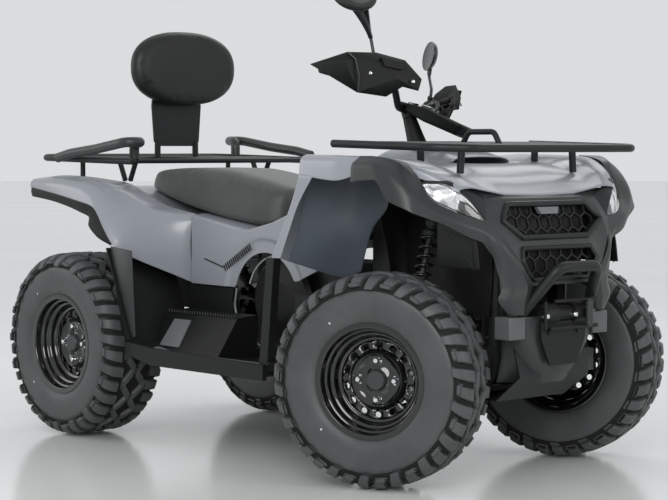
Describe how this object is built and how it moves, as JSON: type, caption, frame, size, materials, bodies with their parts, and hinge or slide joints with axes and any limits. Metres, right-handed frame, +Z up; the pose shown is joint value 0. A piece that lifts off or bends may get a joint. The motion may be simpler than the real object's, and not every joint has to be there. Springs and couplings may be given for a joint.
{
  "type": "quad bike",
  "caption": "Four-wheeled off-road utility quad bike with straddle seat, padded backrest, front and rear tube racks, footwells and steered front wheels.",
  "frame": {"origin": "on the floor, under the middle of the overall length and width", "axes": "+X forward, +Y to the rider's left, +Z up"},
  "size_m": [2.2086, 1.2708, 1.4917],
  "materials": {
    "tyre_rubber": "moulded rubber with side lugs",
    "rim_black": "gloss black paint",
    "disc_steel": "ground steel",
    "cast_silver": "cast, satin",
    "powder_black": "satin black powder coat",
    "grip_rubber": "ribbed rubber",
    "charcoal_plastic": "grained dark charcoal",
    "mirror_shell": "black shell with a mirror face",
    "pod_grey": "grained grey",
    "shock_black": "black coil",
    "engine_alloy": "cast",
    "shaft_black": "black boots on a steel shaft",
    "slate_gloss": "slate blue-grey gloss",
    "lamp_clear": "clear lens over a bright reflector",
    "lamp_red": "red lens",
    "black_vinyl": "grained black vinyl",
    "skid_black": "satin black",
    "muffler_steel": "dull steel",
    "radiator_core": "black finned core"
  },
  "bodies": {
    "chassis": {"gear_cases": "cast_silver", "front_arms": "powder_black", "rear_arms": "powder_black", "frame_lower_rails": "powder_black", "frame_upper_rails": "powder_black", "frame_members": "powder_black", "shock_brackets": "powder_black", "backrest_support": "powder_black", "front_rack": "powder_black", "rear_rack": "powder_black", "bumper": "powder_black", "winch_plate": "powder_black", "hitch": "powder_black", "brows": "charcoal_plastic", "fascia": "charcoal_plastic", "footwells": "charcoal_plastic", "grilles": "charcoal_plastic", "transmission_cover": "charcoal_plastic", "grab_bars": "charcoal_plastic", "shocks": "shock_black", "engine": "engine_alloy", "drive_shafts": "shaft_black", "front_body": "slate_gloss", "rear_body": "slate_gloss", "console": "slate_gloss", "side_panels": "slate_gloss", "headlamps": "lamp_clear", "tail_lamps": "lamp_red", "seat": "black_vinyl", "backrest_pad": "black_vinyl", "skid_plates": "skid_black", "muffler": "muffler_steel", "radiator": "radiator_core"},
    "steering": {"steering_stem": "powder_black", "handlebar": "powder_black", "grips": "grip_rubber", "hand_guards": "charcoal_plastic", "mirrors": "mirror_shell", "instrument_pod": "pod_grey"},
    "knuckle_right": {"knuckle_right": "cast_silver"},
    "tie_rod_right": {"tie_rod_right": "powder_black"},
    "wheel_front_right": {"tyre_front_right": "tyre_rubber", "rim_front_right": "rim_black", "brake_disc_right": "disc_steel"},
    "wheel_rear_right": {"tyre_rear_right": "tyre_rubber", "rim_rear_right": "rim_black"},
    "knuckle_left": {"knuckle_left": "cast_silver"},
    "tie_rod_left": {"tie_rod_left": "powder_black"},
    "wheel_front_left": {"tyre_front_left": "tyre_rubber", "rim_front_left": "rim_black", "brake_disc_left": "disc_steel"},
    "wheel_rear_left": {"tyre_rear_left": "tyre_rubber", "rim_rear_left": "rim_black"}
  },
  "joints": [
    {"name": "steering_column", "type": "hinge", "parent": "chassis", "child": "steering", "pos_m": [0.68, 0, 0.392], "axis": [-0.4004, 0, 0.9163], "range_deg": [-55.5, 8.5]},
    {"name": "kingpin_right", "type": "hinge", "parent": "chassis", "child": "knuckle_right", "pos_m": [0.68, -0.367, 0.314], "axis": [0, 0, 1], "range_deg": [-55.5, 8.5]},
    {"name": "tie_rod_eye_right", "type": "hinge", "parent": "knuckle_right", "child": "tie_rod_right", "pos_m": [0.61581, -0.39491, 0.392], "axis": [0, 0, 1], "range_deg": [-8.5, 55.5]},
    {"name": "wheel_spin_front_right", "type": "hinge", "parent": "knuckle_right", "child": "wheel_front_right", "pos_m": [0.70592, -0.42661, 0.314], "axis": [-0.3987, 0.9171, 0], "continuous": true},
    {"name": "wheel_spin_rear_right", "type": "hinge", "parent": "chassis", "child": "wheel_rear_right", "pos_m": [-0.78, -0.443, 0.314], "axis": [0, 1, 0], "continuous": true},
    {"name": "kingpin_left", "type": "hinge", "parent": "chassis", "child": "knuckle_left", "pos_m": [0.68, 0.367, 0.314], "axis": [0, 0, 1], "range_deg": [-55.5, 8.5]},
    {"name": "tie_rod_eye_left", "type": "hinge", "parent": "knuckle_left", "child": "tie_rod_left", "pos_m": [0.61581, 0.33909, 0.392], "axis": [0, 0, 1], "range_deg": [-8.5, 55.5]},
    {"name": "wheel_spin_front_left", "type": "hinge", "parent": "knuckle_left", "child": "wheel_front_left", "pos_m": [0.65408, 0.42661, 0.314], "axis": [-0.3987, 0.9171, 0], "continuous": true},
    {"name": "wheel_spin_rear_left", "type": "hinge", "parent": "chassis", "child": "wheel_rear_left", "pos_m": [-0.78, 0.443, 0.314], "axis": [0, 1, 0], "continuous": true}
  ],
  "couplings": [
    {"joint": "kingpin_right", "follows": "steering_column", "ratio": 1},
    {"joint": "tie_rod_eye_right", "follows": "steering_column", "ratio": -1},
    {"joint": "kingpin_left", "follows": "steering_column", "ratio": 1},
    {"joint": "tie_rod_eye_left", "follows": "steering_column", "ratio": -1}
  ]
}
